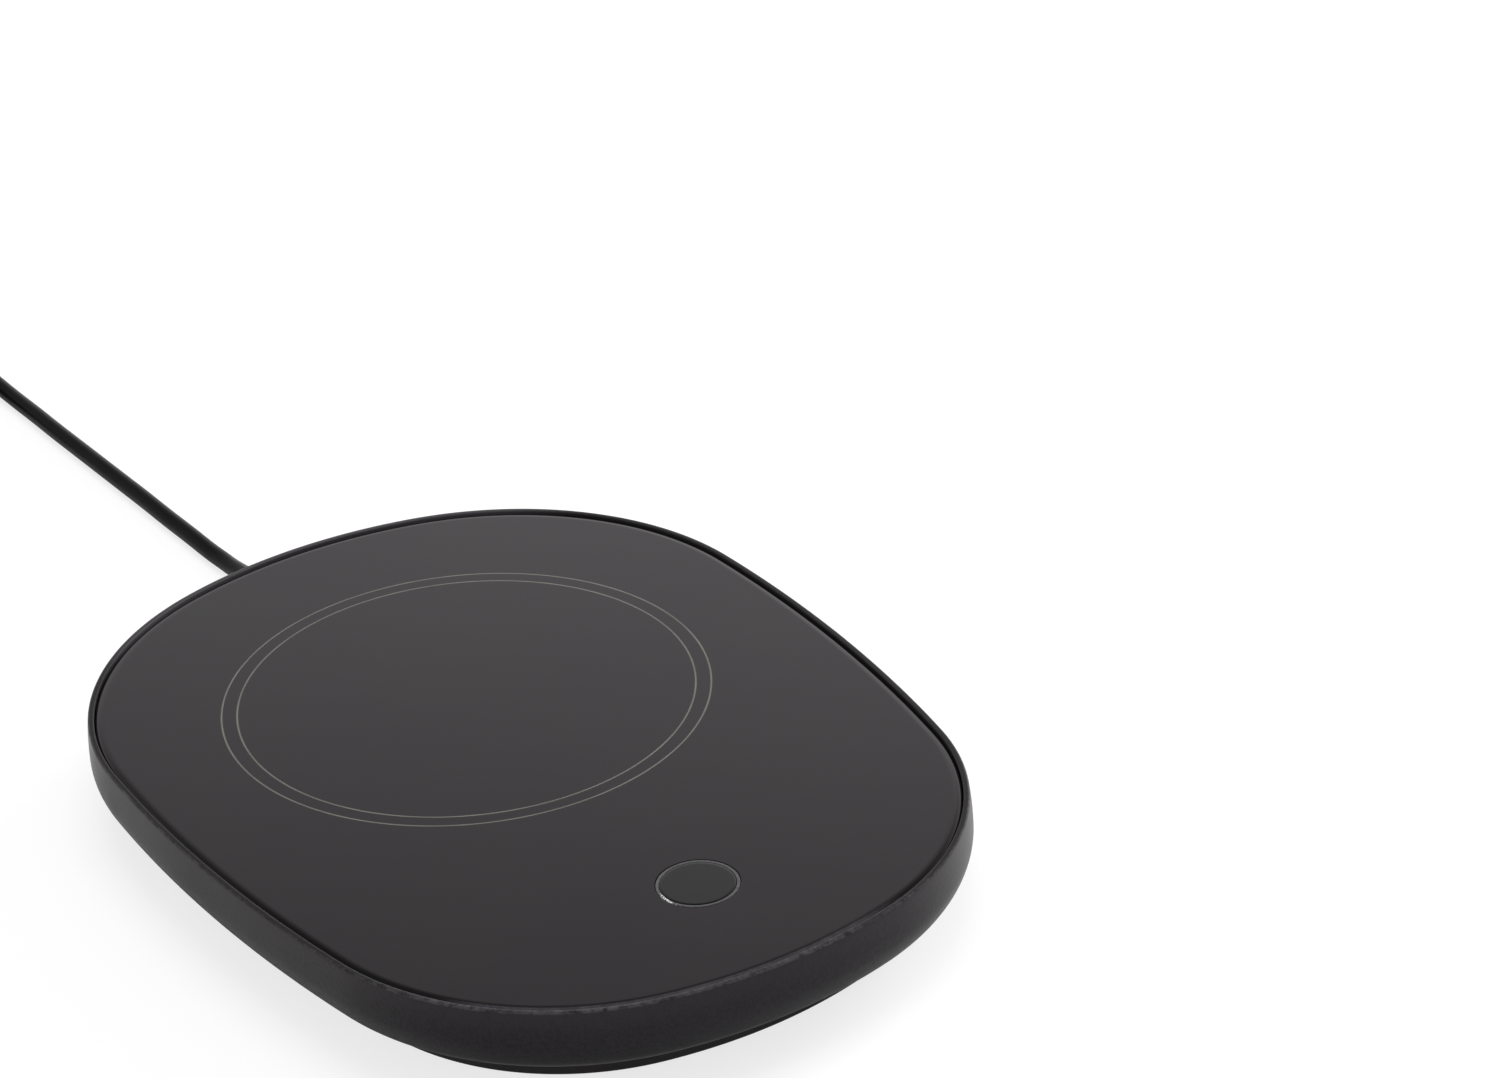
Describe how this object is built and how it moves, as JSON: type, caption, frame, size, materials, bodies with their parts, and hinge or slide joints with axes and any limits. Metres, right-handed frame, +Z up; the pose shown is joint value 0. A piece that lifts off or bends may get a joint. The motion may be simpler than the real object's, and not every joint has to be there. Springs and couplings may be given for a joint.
{
  "type": "electric mug warmer",
  "caption": "Flat electric mug warmer with a rounded black body, a black glass top with a round heated seat, a push button with a light ring, and a mains lead with its plug.",
  "frame": {"origin": "centre of the body's outline, at the surface that the feet stand on", "axes": "+Z up through the glass, -Y towards the button at the front, +Y towards the lead at the back, +X to the right as seen from the front"},
  "size_m": [0.1233, 0.3288, 0.0173],
  "materials": {
    "housing_plastic": "satin black moulded plastic with a fine grain",
    "base_plastic": "matt black moulded plastic",
    "top_glass": "polished glass, black on its back, with two thin printed rings",
    "silicone": "grey silicone",
    "aluminium_plate": "turned",
    "mica": "mica sheet",
    "resistance_foil": "etched foil",
    "felt": "white needled felt",
    "sheet_steel": "zinc plated sheet",
    "screw_steel": "zinc plated",
    "fuse_case": "glazed ceramic",
    "probe_brass": "turned",
    "terminal_brass": "tinned",
    "wire_white": "silicone insulation",
    "wire_red": "thin insulation",
    "board_green": "green solder mask",
    "capacitor_yellow": "moulded box",
    "capacitor_blue": "shrink sleeve",
    "chip_black": "moulded epoxy",
    "connector_white": "nylon",
    "lamp_white": "clear epoxy",
    "switch_red": "moulded",
    "button_gloss": "polished black",
    "light_guide": "frosted clear acrylic",
    "foot_rubber": "moulded rubber",
    "clamp_plastic": "nylon",
    "wire_brown": "insulation",
    "wire_blue": "insulation",
    "cord_black": "satin jacket",
    "tie_black": "woven strap",
    "plug_black": "moulded on the lead",
    "blade_brass": "nickel plated"
  },
  "bodies": {
    "body": {"upper_housing": "housing_plastic", "base_cover": "base_plastic", "glass_top": "top_glass", "glass_adhesive": "silicone", "heat_plate": "aluminium_plate", "heating_film": "mica", "heater_track": "resistance_foil", "insulation_pad": "felt", "heater_bracket": "sheet_steel", "bracket_screws": "screw_steel", "thermal_fuse": "fuse_case", "fuse_clip": "sheet_steel", "temperature_sensor": "probe_brass", "heater_terminals": "terminal_brass", "heater_wires": "wire_white", "sensor_wires": "wire_red", "control_board": "board_green", "board_screws": "screw_steel", "filter_capacitor": "capacitor_yellow", "smoothing_capacitor": "capacitor_blue", "bridge_rectifier": "chip_black", "triac": "chip_black", "board_fuse": "fuse_case", "controller_chip": "chip_black", "mains_connector": "connector_white", "heater_connector": "connector_white", "sensor_connector": "connector_white", "indicator_leds": "lamp_white", "switch_body": "chip_black", "button_light_ring": "light_guide", "foot_front_left": "foot_rubber", "foot_front_right": "foot_rubber", "foot_back_left": "foot_rubber", "foot_back_right": "foot_rubber", "housing_screws": "screw_steel", "strain_relief": "cord_black", "inner_lead": "cord_black", "cord_clamp": "clamp_plastic", "clamp_screws": "screw_steel", "live_wire": "wire_brown", "neutral_wire": "wire_blue", "power_cord": "cord_black", "cord_coil": "cord_black", "coil_tie": "tie_black", "cord_tail": "cord_black", "plug_body": "plug_black", "plug_blades": "blade_brass"},
    "button": {"power_button": "button_gloss"},
    "plunger": {"switch_plunger": "switch_red"}
  },
  "joints": [
    {"name": "button_press", "type": "slide", "parent": "body", "child": "button", "axis": [0, 0, -1], "range_m": [0, 0.0005], "stiffness_N_per_m": 400, "springref_m": -0.0005},
    {"name": "plunger_press", "type": "slide", "parent": "body", "child": "plunger", "axis": [0, 0, -1], "range_m": [0, 0.0005]}
  ],
  "couplings": [
    {"joint": "plunger_press", "follows": "button_press", "ratio": 1}
  ]
}
